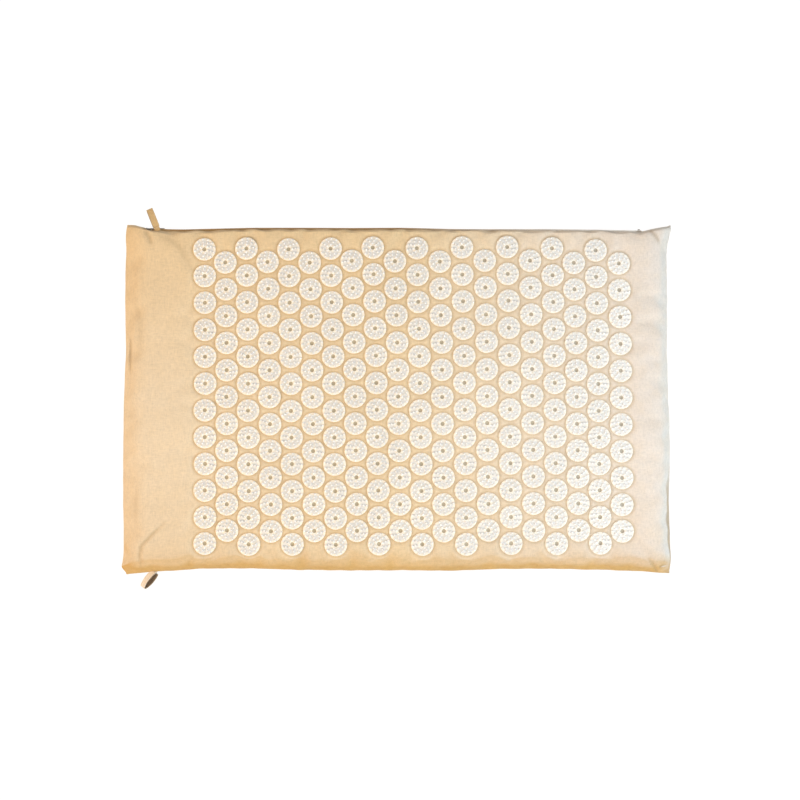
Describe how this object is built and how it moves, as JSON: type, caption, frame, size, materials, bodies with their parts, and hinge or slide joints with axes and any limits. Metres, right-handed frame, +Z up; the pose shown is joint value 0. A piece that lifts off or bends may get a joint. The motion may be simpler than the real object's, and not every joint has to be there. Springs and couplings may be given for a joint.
{
  "type": "acupressure mat",
  "caption": "Acupressure mat: a flat zipped cotton cover round a foam slab, with rows of white spiked plastic discs and ribbon carry loops.",
  "frame": {"origin": "middle of the mat's flat underside, between its four edges and without the carry loops", "axes": "+X along the mat's length, away from the end with the carry loops; +Y across it, towards the long edge with the zip; +Z up, out of the spiked side"},
  "size_m": [0.679, 0.478, 0.0273],
  "materials": {
    "cover_cotton": "matte",
    "base_cotton": "matte",
    "foam": "matte",
    "spike_plastic": "satin",
    "zip_tape": "matte",
    "zip_teeth": "satin",
    "zip_metal": "satin",
    "ribbon": "satin"
  },
  "bodies": {
    "mat": {"bottom_panel": "base_cotton", "carry_loop_back": "ribbon", "carry_loop_front": "ribbon", "foam_core": "foam", "spike_disc_column_01": "spike_plastic", "spike_disc_column_02": "spike_plastic", "spike_disc_column_03": "spike_plastic", "spike_disc_column_04": "spike_plastic", "spike_disc_column_05": "spike_plastic", "spike_disc_column_06": "spike_plastic", "spike_disc_column_07": "spike_plastic", "spike_disc_column_08": "spike_plastic", "spike_disc_column_09": "spike_plastic", "spike_disc_column_10": "spike_plastic", "spike_disc_column_11": "spike_plastic", "spike_disc_column_12": "spike_plastic", "spike_disc_column_13": "spike_plastic", "spike_disc_column_14": "spike_plastic", "spike_disc_column_15": "spike_plastic", "spike_disc_column_16": "spike_plastic", "spike_disc_column_17": "spike_plastic", "spike_disc_column_18": "spike_plastic", "spike_disc_column_19": "spike_plastic", "spike_disc_column_20": "spike_plastic", "top_panel": "cover_cotton", "zip_bottom_stop": "zip_metal", "zip_tape_lower": "zip_tape", "zip_tape_upper": "zip_tape", "zip_teeth_lower": "zip_teeth", "zip_teeth_upper": "zip_teeth", "zip_top_stop_lower": "zip_metal", "zip_top_stop_upper": "zip_metal"},
    "slider": {"zip_slider": "zip_metal"},
    "pull_tab": {"zip_pull_tab": "zip_metal"}
  },
  "joints": [
    {"name": "slider_travel", "type": "slide", "parent": "mat", "child": "slider", "axis": [1, 0, 0], "range_m": [0, 0.6054]},
    {"name": "tab_swing", "type": "hinge", "parent": "slider", "child": "pull_tab", "pos_m": [-0.3102, 0.2112, 0.0095], "axis": [0, 0, 1], "range_deg": [0, 150]}
  ]
}
